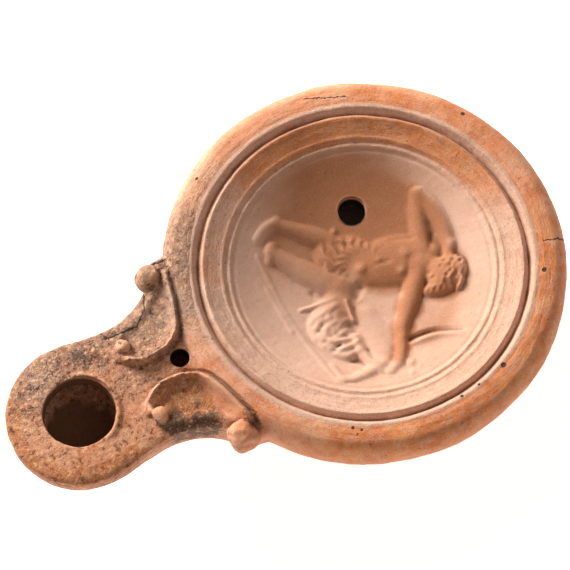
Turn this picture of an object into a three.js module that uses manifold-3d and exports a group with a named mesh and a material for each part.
// Mould-made terracotta oil lamp with a round body, a sunk relief disc and a rounded nozzle
// flanked by two volutes. One hollow fired-clay piece, open at the wick, air and filling holes.
// Millimetres, +Z up. The origin is the centre of the flat base, the nozzle points along +X.

import * as THREE from 'three';
import { mergeVertices } from 'three/addons/utils/BufferGeometryUtils.js';
import { ParametricGeometry } from 'three/addons/geometries/ParametricGeometry.js';
import Module from 'manifold-3d';

// Body
const BASE_RADIUS = 20.6;
const BASE_GROOVE_RADIUS = 17.8;
const BASE_GROOVE_HALF_WIDTH = 0.6;
const BASE_GROOVE_DEPTH = 0.7;
const BELLY_RADIUS = 38.3;
const BELLY_HEIGHT = 23.0;
const BELLY_SQUARENESS = 1.65;
const BASE_EDGE_HEIGHT = 0.5;
const BASE_EDGE_INSET = 0.4;
const WALL_LEVELS = [BASE_EDGE_HEIGHT, 1.8, 5.0, 10.0, 16.0, BELLY_HEIGHT];
const WALL = 3.1;
// Inside, the clay was pressed a little thicker towards the base.
const HOLLOW_LEVELS = [WALL, 6.0, 10.0, 15.0, 20.0];
const HOLLOW_DROP = 1.2;
const UNDER_SHOULDER = [[34.4, 22.6], [33.0, 23.4], [29.6, 22.7], [26.6, 21.6]];
// The mould halves sat a little off each other, so the outer wall is not quite concentric.
const WALL_SHIFT = new THREE.Vector2(-0.45, -0.22);
const SHIFT_FROM_RADIUS = 33.0;

// Shoulder, framing rings and sunk disc
const SHOULDER_HEIGHT = 27.2;
const SHOULDER_INNER_RADIUS = 32.5;
const SHOULDER_OUTER_RADIUS = 35.3;
const SHOULDER_TURNS = [70, 45, 22, 0];
const GROOVE_RADIUS = 31.1;
const GROOVE_HEIGHT = 25.4;
const BAND_OUTER_RADIUS = 30.0;
const BAND_OUTER_HEIGHT = 26.6;
const BAND_INNER_RADIUS = 27.1;
const BAND_INNER_HEIGHT = 25.4;
const RIDGE_RADII = [26.5, 25.0];
const RIDGE_HEIGHTS = [25.7, 24.95];
const DISH_RADIUS = 24.3;
const DISH_FLOOR = 19.0;
const DISH_RISE = 5.2;
const DISH_POWER = 2.6;
const DISH_RINGS = [DISH_RADIUS, 21.8, 18.6, 14.4, 9.0];
const UNDER_DISH_RINGS = [23.0, 19.0, 14.0, 8.0, 0];

// Nozzle
const NOZZLE_START = 24.0;
const NOZZLE_HOLLOW_START = 31.0;
const NOZZLE_TRIM_RADIUS = 34.5;
const NOZZLE_STRAIGHT_SHARE = 0.6;
const NECK_X = 47.4;
const NECK_HALF_WIDTH = 12.3;
const NECK_CURVE_BACK = 13.6;
const NECK_CURVE_FRONT = 20.0;
const WING_HALF_WIDTH = 20.2;
const BOWL_X = 60.2;
const BOWL_RADIUS = 13.7;
const BOWL_BLEND = [50.5, 58.5];
const NOZZLE_TOP = 25.8;
const NOZZLE_BELLY = 24.2;
const NOZZLE_FLOOR_BACK = 2.0;
const NOZZLE_FLOOR_TIP = 13.0;
const NOZZLE_FLOOR_POWER = 1.5;
const TOP_SQUARENESS = 5.0;
const KEEL_SQUARENESS = 2.0;
const TIP_SQUARENESS = 2.6;
const TIP_TOP_SQUARENESS = 8.0;

// Volutes
const PAD_TOP = 26.4;
const PAD_DEPTH = 2.0;
const SCROLL_HALF_WIDTH = 0.65;
const SCROLL_HEIGHT = 1.2;
const SCROLL_LINE = [
  [33.4, 16.6],
  [35.0, 10.4],
  [36.9, 5.6],
  [39.6, 3.5],
  [43.0, 2.8],
  [46.2, 3.4],
  [48.3, 5.2],
  [48.6, 7.2],
];
const PAD_OUTER_XS = [45.0, 42.0, 39.5, 37.0];
const PAD_EDGE_INSET = 1.6;
// The volutes end in round bosses that taper down into the side of the nozzle.
const KNOBS = {
  left: [{ x: 36.4, y: -17.4, radius: 2.3, top: 28.0 }, { x: 47.3, y: -7.4, radius: 1.5, top: 27.3 }],
  right: [{ x: 36.0, y: 18.4, radius: 2.6, top: 28.0 }, { x: 47.4, y: 8.0, radius: 1.75, top: 27.5 }],
};
const KNOB_PROFILE = [[0, -4.0], [0.7, -3.0], [1.1, -1.5], [1.0, -0.7], [0.68, -0.2], [0, 0]];

// Openings
const WICK_HOLE = { x: 60.2, y: 0.0, radius: 6.7 };
const AIR_HOLE = { x: 39.0, y: -0.3, radius: 1.78 };
const FILLING_HOLE = { x: -4.9, y: -12.55, radius: 2.68 };
const WICK_RIM_HALF_WIDTH = 0.55;
const WICK_RIM_HEIGHT = 0.6;
const WICK_RIM_REACH = 70;
const DRILL_DEPTH = 5.0;
const ABOVE_ALL = 30.0;

// Facets around each form
const SIDES = { body: 56, reservoir: 24, nozzle: 20, hollow: 12, knob: 10, ridge: 6, head: 10, bead: 5 };
const HOLE_SIDES = { wick: 30, air: 16, filling: 22, trim: 48 };

// Relief on the disc, seen with the nozzle towards the viewer. Each form is a raised ridge along a
// line of stations: x, y, half width and height above the disc, before the whole is worn lower.
const RELIEF_WEAR = 0.7;
const RELIEF_EMBED = 1.0;
const STRIKER = {
  torso: [[-12.6, 2.2, 2.8, 1.7], [-9.6, 1.2, 5.2, 2.1], [-5.6, -0.4, 5.2, 2.1], [-1.4, -1.6, 4.0, 1.7]],
  raisedUpperArm: [[-17.0, -8.8, 1.6, 1.0], [-15.4, -6.0, 1.8, 1.3], [-13.9, -2.6, 2.0, 1.6],
    [-12.4, 0.8, 2.2, 1.8]],
  raisedForearm: [[-17.2, -8.8, 1.5, 1.0], [-18.0, -5.2, 1.8, 1.2], [-18.0, -1.0, 1.6, 1.2],
    [-17.0, 3.4, 1.4, 1.1]],
  raisedFist: [[-17.4, 2.8, 1.4, 1.4], [-16.0, 4.6, 1.4, 1.5]],
  neck: [[-11.4, 3.0, 2.3, 2.0], [-13.2, 6.2, 2.1, 2.3]],
  loweredUpperArm: [[-10.6, 3.6, 2.1, 2.0], [-7.4, 6.6, 2.3, 2.1], [-4.4, 9.6, 2.1, 1.9],
    [-1.4, 12.4, 1.7, 1.6]],
  loweredForearm: [[-2.0, 11.8, 1.7, 1.6], [0.0, 14.6, 1.6, 1.4], [1.6, 17.2, 1.4, 1.2],
    [3.4, 19.2, 1.2, 1.0]],
  loweredHand: [[2.8, 18.6, 1.3, 1.2], [5.6, 20.0, 1.2, 1.1]],
  skirt: [[-3.2, -3.0, 3.0, 1.3], [0.0, -4.8, 4.6, 1.3], [2.4, -6.2, 4.4, 1.1]],
  rearLeg: [[0.8, -8.2, 2.0, 1.5], [3.8, -11.4, 2.2, 1.8], [6.8, -14.2, 1.8, 1.5], [9.6, -16.8, 1.3, 1.2]],
  rearFoot: [[9.0, -16.9, 1.2, 1.2], [12.0, -16.5, 1.2, 1.1], [14.4, -15.2, 1.0, 0.8]],
  frontLeg: [[5.4, -0.8, 2.6, 1.7], [7.8, -4.4, 2.8, 2.0], [10.4, -8.0, 2.2, 1.7], [13.0, -12.2, 1.5, 1.4]],
  frontFoot: [[12.4, -12.8, 1.4, 1.3], [14.2, -10.6, 1.1, 1.0]],
};
const FALLEN = {
  back: [[3.4, 7.0, 2.4, 0.6], [4.2, 11.0, 3.0, 0.6], [5.4, 15.2, 2.6, 0.7], [6.8, 18.2, 1.8, 0.8]],
  thigh: [[7.6, 10.6, 1.5, 1.2], [7.9, 13.6, 1.4, 1.4], [7.2, 16.8, 1.3, 1.2]],
  shin: [[5.8, 17.6, 1.6, 1.3], [9.4, 18.2, 1.3, 1.2], [12.4, 18.2, 1.1, 1.1], [14.6, 17.2, 0.9, 0.9]],
  foot: [[14.2, 17.8, 0.9, 0.9], [14.5, 14.0, 0.8, 0.7]],
  hip: [[4.0, -0.6, 2.2, 1.3], [6.4, 1.8, 3.0, 1.5], [8.8, 4.4, 3.6, 1.5]],
  lap: [[8.8, 3.2, 3.4, 1.3], [11.2, 6.2, 4.0, 1.5], [10.8, 9.6, 3.6, 1.4], [10.6, 12.4, 2.2, 1.1]],
  blade: [[13.9, 0.6, 0.4, 1.0], [10.2, 1.0, 0.45, 2.0], [6.7, 1.4, 0.45, 2.1]],
};
const FOLDS = {
  halfWidth: 0.65,
  height: 2.1,
  lines: [
    [[7.6, 2.9], [9.6, 3.1], [11.6, 3.6]],
    [[11.2, 3.2], [13.6, 3.6], [14.9, 5.4], [14.6, 7.4]],
    [[10.0, 4.6], [12.4, 4.9], [13.6, 6.4], [13.4, 8.2]],
    [[9.0, 6.0], [11.2, 6.2], [12.2, 7.6], [12.1, 9.0]],
    [[6.7, 8.0], [8.8, 8.5], [10.8, 8.4]],
    [[7.6, 11.4], [10.0, 11.6], [12.6, 10.6], [13.8, 9.4]],
  ],
};
const PLEATS = {
  halfWidth: 0.6,
  height: 2.0,
  knot: { x: -1.0, y: -1.5, radius: 1.5, height: 2.5 },
  hem: [[0.2, -10.4], [2.6, -8.0], [5.2, -3.8], [3.8, -1.0]],
  count: 7,
};
const HEM_BEADS = { from: [5.2, 3.0], to: [6.0, 7.0], count: 5, radius: 0.5, height: 2.4 };
const GROUND_LINES = {
  halfWidth: 0.45,
  height: 0.6,
  lines: [[[15.9, -12.4], [16.6, 2.0], [15.4, 18.0]], [[17.4, -6.0], [17.5, 4.0]]],
};
const CRESCENT = [[-9.6, 19.2, 0.5, 0.5], [-6.8, 17.4, 0.9, 0.9], [-3.8, 16.5, 0.9, 1.0],
  [-1.0, 16.2, 0.6, 0.7]];
const HEAD = { x: -13.4, y: 7.9, halfLength: 4.2, halfWidth: 3.5, height: 2.7, turn: 0.25 };
const CURLS = { count: 12, radius: 1.2, height: 0.85, spread: 0.9, sink: 0.2 };
const FACE = { x: -13.0, reach: 2.0, fromY: 9.1 };
const FACE_RIDGES = {
  brow: [[-15.6, 10.0, 0.5, 3.0], [-14.6, 11.4, 0.5, 2.5]],
  nose: [[-14.6, 11.0, 0.5, 2.7], [-12.9, 11.8, 0.7, 2.6]],
  cheek: [[-13.6, 9.4, 1.3, 3.1], [-12.2, 10.6, 1.0, 2.7]],
  beard: [[-11.6, 10.6, 1.2, 2.5], [-10.4, 9.9, 1.4, 2.4], [-8.9, 9.0, 0.9, 1.8]],
};

const CLAY_COLOUR = 0xc9906b;

// Joining and cutting of closed meshes
const wasm = await Module();
wasm.setup();

function withoutSlivers(geometry) {
  const bare = geometry.clone();
  bare.deleteAttribute('normal');
  bare.deleteAttribute('uv');
  const merged = mergeVertices(bare, 1e-4);
  const kept = [];
  const index = merged.index.array;
  for (let i = 0; i < index.length; i += 3) {
    const [a, b, c] = [index[i], index[i + 1], index[i + 2]];
    if (a !== b && b !== c && c !== a) kept.push(a, b, c);
  }
  return { points: merged.attributes.position.array, triangles: kept };
}

function solid(geometry) {
  const { points, triangles } = withoutSlivers(geometry);
  const build = (corners) => new wasm.Manifold(new wasm.Mesh({
    numProp: 3,
    vertProperties: new Float32Array(points),
    triVerts: new Uint32Array(corners),
  }));
  const shape = build(triangles);
  return shape.volume() > 0 ? shape : build(triangles.toReversed());
}

function join(solids) {
  return solids.reduce((whole, piece) => whole.add(piece));
}

function turned(profile, segments) {
  const points = profile.map(([radius, height]) => new THREE.Vector2(radius, height));
  return new THREE.LatheGeometry(points, segments).rotateX(Math.PI / 2);
}

function drill({ x, y, radius }, bottom, top, segments) {
  const depth = top - bottom;
  const bit = new THREE.CylinderGeometry(radius, radius, depth, segments).rotateX(Math.PI / 2);
  return solid(bit.translate(x, y, bottom + depth / 2));
}

// Body
function dishHeight(radius) {
  const part = Math.min(radius, DISH_RADIUS) / DISH_RADIUS;
  return DISH_FLOOR + DISH_RISE * part ** DISH_POWER;
}

// Radius of the outer wall: a squared quarter ellipse from the base edge to the belly.
function wallRadius(height) {
  const below = 1 - (height - BASE_EDGE_HEIGHT) / (BELLY_HEIGHT - BASE_EDGE_HEIGHT);
  const part = (1 - Math.max(0, below) ** BELLY_SQUARENESS) ** (1 / BELLY_SQUARENESS);
  return BASE_RADIUS + (BELLY_RADIUS - BASE_RADIUS) * part;
}

function outerProfile() {
  const profile = [
    [0, 0],
    [BASE_GROOVE_RADIUS - BASE_GROOVE_HALF_WIDTH, 0],
    [BASE_GROOVE_RADIUS, BASE_GROOVE_DEPTH],
    [BASE_GROOVE_RADIUS + BASE_GROOVE_HALF_WIDTH, 0],
    [BASE_RADIUS - BASE_EDGE_INSET, 0],
  ];
  for (const height of WALL_LEVELS) {
    profile.push([wallRadius(height), height]);
  }
  for (const turn of SHOULDER_TURNS) {
    const angle = THREE.MathUtils.degToRad(turn);
    profile.push([
      THREE.MathUtils.lerp(SHOULDER_OUTER_RADIUS, BELLY_RADIUS, Math.sin(angle)),
      THREE.MathUtils.lerp(BELLY_HEIGHT, SHOULDER_HEIGHT - 0.1, Math.cos(angle)),
    ]);
  }
  profile.push(
    [SHOULDER_INNER_RADIUS, SHOULDER_HEIGHT - 0.3],
    [GROOVE_RADIUS, GROOVE_HEIGHT],
    [BAND_OUTER_RADIUS, BAND_OUTER_HEIGHT],
    [BAND_INNER_RADIUS, BAND_INNER_HEIGHT],
    [RIDGE_RADII[0], RIDGE_HEIGHTS[0]],
    [(RIDGE_RADII[0] + RIDGE_RADII[1]) / 2, RIDGE_HEIGHTS[1] - 0.25],
    [RIDGE_RADII[1], RIDGE_HEIGHTS[1]],
  );
  for (const radius of DISH_RINGS) {
    profile.push([radius, dishHeight(radius)]);
  }
  profile.push([0, DISH_FLOOR]);
  return profile;
}

function shiftedOuterWall(geometry) {
  const place = geometry.attributes.position;
  for (let i = 0; i < place.count; i += 1) {
    const [x, y] = [place.getX(i), place.getY(i)];
    const span = BELLY_RADIUS - SHIFT_FROM_RADIUS;
    const share = THREE.MathUtils.clamp((Math.hypot(x, y) - SHIFT_FROM_RADIUS) / span, 0, 1);
    place.setXY(i, x + WALL_SHIFT.x * share, y + WALL_SHIFT.y * share);
  }
  return geometry;
}

function reservoirProfile() {
  const profile = [[0, WALL]];
  for (const height of HOLLOW_LEVELS) {
    profile.push([wallRadius(height - HOLLOW_DROP) - WALL, height]);
  }
  profile.push(...UNDER_SHOULDER);
  for (const radius of UNDER_DISH_RINGS) {
    profile.push([radius, dishHeight(radius) - WALL]);
  }
  return profile;
}

// Nozzle: a section carried along X, squared above its widest level and keel-shaped below.
function nozzleHalfWidth(x, inset) {
  const curve = x < NECK_X ? NECK_CURVE_BACK : NECK_CURVE_FRONT;
  const offset = Math.min(Math.abs(x - NECK_X), curve);
  const concave = NECK_HALF_WIDTH - inset + curve - Math.sqrt(curve ** 2 - offset ** 2);
  if (x < NECK_X) return Math.min(concave, WING_HALF_WIDTH - inset);
  const round = Math.sqrt(Math.max(0, (BOWL_RADIUS - inset) ** 2 - (x - BOWL_X) ** 2));
  return THREE.MathUtils.lerp(concave, round, THREE.MathUtils.smoothstep(x, ...BOWL_BLEND));
}

function nozzleLevels(x, inset) {
  const length = BOWL_X + BOWL_RADIUS - NOZZLE_START;
  const along = THREE.MathUtils.clamp((x - NOZZLE_START) / length, 0, 1);
  const rise = NOZZLE_FLOOR_TIP - NOZZLE_FLOOR_BACK;
  const keel = NOZZLE_FLOOR_BACK + rise * along ** NOZZLE_FLOOR_POWER + inset;
  const past = THREE.MathUtils.clamp((x - BOWL_X) / (BOWL_RADIUS - inset), 0, 1);
  const topFullness = (1 - past ** TIP_TOP_SQUARENESS) ** (2 / TIP_TOP_SQUARENESS);
  const keelFullness = (1 - past ** TIP_SQUARENESS) ** (1 / TIP_SQUARENESS);
  const belly = NOZZLE_BELLY - inset;
  return {
    top: THREE.MathUtils.lerp(belly, NOZZLE_TOP - inset, topFullness),
    belly,
    keel: THREE.MathUtils.lerp(belly, keel, keelFullness),
  };
}

// The first ring shrinks to a point so that the end inside the body is closed.
function nozzlePoint(around, along, start, inset, cap, target) {
  const straight = NOZZLE_STRAIGHT_SHARE;
  const tipAngle = (Math.PI / 2) * (along - straight) / (1 - straight);
  const x = along < straight
    ? THREE.MathUtils.lerp(start, BOWL_X, Math.max(0, along - cap) / (straight - cap))
    : BOWL_X + (BOWL_RADIUS - inset) * Math.sin(tipAngle);
  const { top, belly, keel } = nozzleLevels(x, inset);
  const angle = 2 * Math.PI * around;
  const [across, up] = [Math.cos(angle), Math.sin(angle)];
  const power = 2 / (up > 0 ? TOP_SQUARENESS : KEEL_SQUARENESS);
  const reach = up > 0 ? top - belly : belly - keel;
  const size = along === 0 ? 0 : 1;
  target.set(
    x,
    size * nozzleHalfWidth(x, inset) * Math.sign(across) * Math.abs(across) ** power,
    belly + size * reach * Math.sign(up) * Math.abs(up) ** power,
  );
}

function nozzleShape(start, inset, sides) {
  const point = (u, v, target) => nozzlePoint(u, v, start, inset, 1 / sides, target);
  return solid(new ParametricGeometry(point, sides, sides));
}

// A raised ridge along a line: half an ellipse above the surface, sunk a little below it.
function ridge(stations, surface) {
  const line = new THREE.CatmullRomCurve3(stations.map(([x, y]) => new THREE.Vector3(x, y, 0)));
  const size = new THREE.CatmullRomCurve3(stations.map((row) => new THREE.Vector3(row[2], row[3], 0)));
  const point = (u, v, target) => {
    const centre = line.getPoint(v);
    const tangent = line.getTangent(v);
    const { x: halfWidth, y: height } = size.getPoint(v);
    const fullness = Math.sqrt(Math.max(0, 1 - Math.abs(2 * v - 1) ** 5));
    const across = Math.cos(2 * Math.PI * u) * halfWidth * fullness;
    const up = Math.sin(2 * Math.PI * u) * fullness;
    const [x, y] = [centre.x - tangent.y * across, centre.y + tangent.x * across];
    target.set(x, y, surface(x, y) + up * (up > 0 ? height : RELIEF_EMBED));
  };
  return solid(new ParametricGeometry(point, SIDES.ridge, stations.length + 2));
}

// A low dome on the surface, long along its own turned axis.
function dome({ x, y, halfLength, halfWidth, height, turn = 0 }, surface, sides) {
  const ball = new THREE.SphereGeometry(1, sides, Math.ceil(sides / 2)).rotateX(Math.PI / 2);
  ball.scale(halfLength, halfWidth, height).rotateZ(turn).translate(x, y, surface(x, y));
  return solid(ball);
}

// Relief
const onDish = (x, y) => dishHeight(Math.hypot(x, y));

function wornRidge(stations) {
  return ridge(stations.map(([x, y, halfWidth, height]) => [x, y, halfWidth, height * RELIEF_WEAR]), onDish);
}

function wornDome(form, sides) {
  return dome({ ...form, height: form.height * RELIEF_WEAR }, onDish, sides);
}

function foldRidges({ halfWidth, height, lines }) {
  return lines.map((line) => wornRidge(line.map(([x, y]) => [x, y, halfWidth, height])));
}

function pleatRidges({ halfWidth, height, knot, hem, count }) {
  const edge = new THREE.CatmullRomCurve3(hem.map(([x, y]) => new THREE.Vector3(x, y, 0)));
  const centre = new THREE.Vector3(knot.x, knot.y, 0);
  const pleats = [];
  for (let i = 0; i < count; i += 1) {
    const end = edge.getPoint(i / (count - 1));
    const stations = [0.1, 0.55, 1].map((part) => {
      const place = centre.clone().lerp(end, part);
      return [place.x, place.y, halfWidth * (0.7 + 0.5 * part), height * (1 - 0.25 * part)];
    });
    pleats.push(wornRidge(stations));
  }
  return pleats;
}

function hemBeads({ from, to, count, radius, height }) {
  const beads = [];
  for (let i = 0; i < count; i += 1) {
    const part = i / (count - 1);
    const x = THREE.MathUtils.lerp(from[0], to[0], part);
    const y = THREE.MathUtils.lerp(from[1], to[1], part);
    beads.push(wornDome({ x, y, halfLength: radius, halfWidth: radius, height }, SIDES.bead));
  }
  return beads;
}

// Curls spread over the skull on a sunflower spiral, leaving the face side clear.
function curls({ count, radius, height, spread }) {
  const golden = Math.PI * (3 - Math.sqrt(5));
  const locks = [];
  for (let i = 0; i < count; i += 1) {
    const out = Math.sqrt((i + 0.5) / count) * spread;
    const angle = i * golden;
    const x = HEAD.x + HEAD.halfLength * out * Math.cos(angle);
    const y = HEAD.y + HEAD.halfWidth * out * Math.sin(angle);
    const onFace = Math.abs(x - FACE.x) < FACE.reach && y > FACE.fromY;
    const skull = onDish(x, y) + HEAD.height * RELIEF_WEAR * Math.sqrt(1 - out ** 2) - height * CURLS.sink;
    const lock = { x, y, halfLength: radius, halfWidth: radius, height };
    if (!onFace) locks.push(dome(lock, () => skull, SIDES.bead));
  }
  return locks;
}

function relief() {
  const limbs = [STRIKER, FALLEN, FACE_RIDGES].flatMap((figure) => Object.values(figure));
  const { knot } = PLEATS;
  return [
    ...limbs.map(wornRidge),
    wornRidge(CRESCENT),
    wornDome(HEAD, SIDES.head),
    ...curls(CURLS),
    ...foldRidges(FOLDS),
    ...foldRidges(GROUND_LINES),
    ...pleatRidges(PLEATS),
    ...hemBeads(HEM_BEADS),
    wornDome({ ...knot, halfLength: knot.radius, halfWidth: knot.radius }, SIDES.bead),
  ];
}

// Volutes: side is 1 for the half at +Y and -1 for the half at -Y.
function knob({ x, y, radius, top }) {
  const profile = KNOB_PROFILE.map(([part, drop]) => [part * radius, drop * radius]);
  return solid(turned(profile, SIDES.knob).translate(x, y, top));
}

const onPad = () => PAD_TOP;

function volutePad(side) {
  const outline = new THREE.Shape(SCROLL_LINE.map(([x, y]) => new THREE.Vector2(x, side * y)));
  for (const x of PAD_OUTER_XS) {
    outline.lineTo(x, side * (nozzleHalfWidth(x, 0) - PAD_EDGE_INSET));
  }
  const plate = new THREE.ExtrudeGeometry(outline, { depth: PAD_DEPTH, bevelEnabled: false });
  return solid(plate.translate(0, 0, PAD_TOP - PAD_DEPTH));
}

function volute(side) {
  const scroll = SCROLL_LINE.map(([x, y]) => [x, side * y, SCROLL_HALF_WIDTH, SCROLL_HEIGHT]);
  const knobs = side > 0 ? KNOBS.right : KNOBS.left;
  return join([volutePad(side), ridge(scroll, onPad), ...knobs.map(knob)]);
}

// A thin raised lip on the body side of the wick hole.
function wickRim() {
  const { x, y, radius } = WICK_HOLE;
  const stations = [-1, -0.5, 0, 0.5, 1].map((part) => {
    const angle = THREE.MathUtils.degToRad(180 + part * WICK_RIM_REACH);
    const reach = radius + WICK_RIM_HALF_WIDTH;
    const place = [x + reach * Math.cos(angle), y + reach * Math.sin(angle)];
    return [...place, WICK_RIM_HALF_WIDTH, WICK_RIM_HEIGHT];
  });
  return ridge(stations, () => NOZZLE_TOP);
}

function lampSolid() {
  const trim = { x: 0, y: 0, radius: NOZZLE_TRIM_RADIUS };
  const disc = drill(trim, NOZZLE_BELLY - DRILL_DEPTH, ABOVE_ALL, HOLE_SIDES.trim);
  const outside = join([
    solid(shiftedOuterWall(turned(outerProfile(), SIDES.body))),
    nozzleShape(NOZZLE_START, 0, SIDES.nozzle).subtract(disc),
    ...[-1, 1].map((side) => volute(side).subtract(disc)),
    wickRim(),
    ...relief(),
  ]);
  const hollow = join([
    solid(turned(reservoirProfile(), SIDES.reservoir)),
    nozzleShape(NOZZLE_HOLLOW_START, WALL, SIDES.hollow),
    drill(WICK_HOLE, NOZZLE_BELLY - DRILL_DEPTH, ABOVE_ALL, HOLE_SIDES.wick),
    drill(AIR_HOLE, NOZZLE_BELLY - DRILL_DEPTH, ABOVE_ALL, HOLE_SIDES.air),
    drill(FILLING_HOLE, DISH_FLOOR - DRILL_DEPTH, ABOVE_ALL, HOLE_SIDES.filling),
  ]);
  return outside.subtract(hollow);
}

function meshOf(shape, name) {
  const { vertProperties, triVerts } = shape.getMesh();
  const geometry = new THREE.BufferGeometry();
  geometry.setAttribute('position', new THREE.BufferAttribute(vertProperties, 3));
  geometry.setIndex(new THREE.BufferAttribute(triVerts, 1));
  geometry.computeVertexNormals();
  const clay = new THREE.MeshStandardMaterial({ color: CLAY_COLOUR, roughness: 0.85, metalness: 0 });
  const mesh = new THREE.Mesh(geometry, clay);
  mesh.name = name;
  return mesh;
}

const lamp = new THREE.Group();
lamp.add(meshOf(lampSolid(), 'lamp_body'));

export default lamp;
